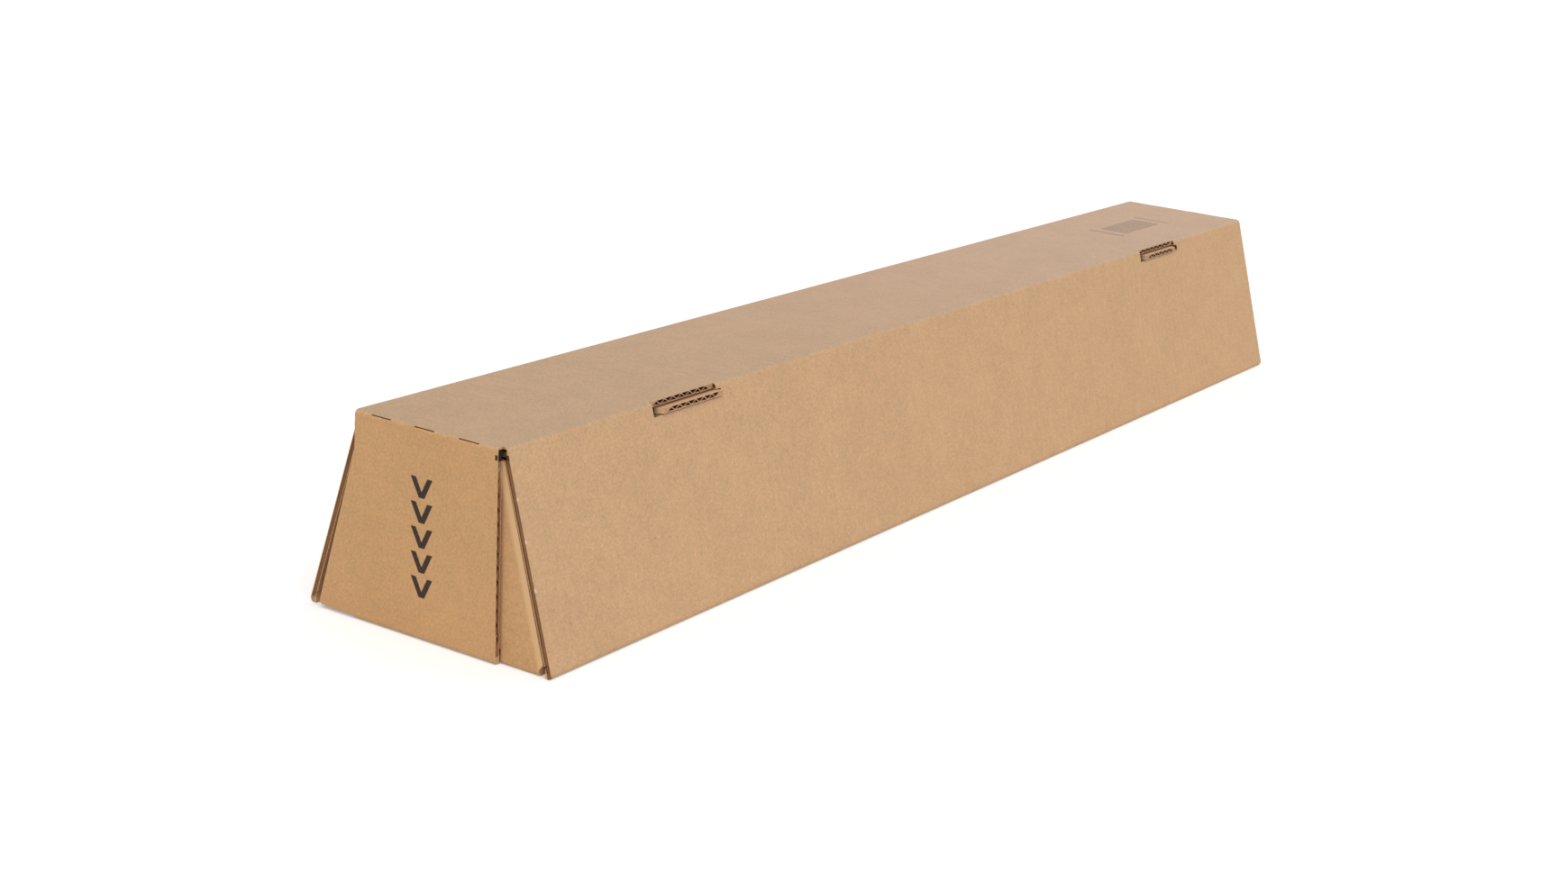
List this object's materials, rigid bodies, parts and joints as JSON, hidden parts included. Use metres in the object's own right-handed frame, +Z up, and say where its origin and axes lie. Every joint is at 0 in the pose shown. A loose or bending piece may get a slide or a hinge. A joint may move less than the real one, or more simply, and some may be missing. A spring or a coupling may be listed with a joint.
{
  "type": "trapezoid shipping box",
  "caption": "Long shipping box of brown corrugated board with a trapezoid section, a slotted lid fold with lock tabs, and hinged end flaps that tuck in.",
  "frame": {"origin": "on the surface that the box stands on, under the middle of the box", "axes": "+X along the box towards its right end, +Z up, front panel with the lock tabs facing -Y"},
  "size_m": [0.62, 0.1108, 0.077],
  "materials": {
    "kraft_board": "matt"
  },
  "bodies": {
    "sleeve": {"box_blank": "kraft_board"},
    "left_flap": {"left_end_flap": "kraft_board"},
    "right_flap": {"right_end_flap": "kraft_board"}
  },
  "joints": [
    {"name": "left_flap_hinge", "type": "hinge", "parent": "sleeve", "child": "left_flap", "pos_m": [-0.30947, 0, 0.07647], "axis": [0, 1, 0], "range_deg": [0, 180]},
    {"name": "right_flap_hinge", "type": "hinge", "parent": "sleeve", "child": "right_flap", "pos_m": [0.30947, 0, 0.07647], "axis": [0, -1, 0], "range_deg": [0, 180]}
  ]
}
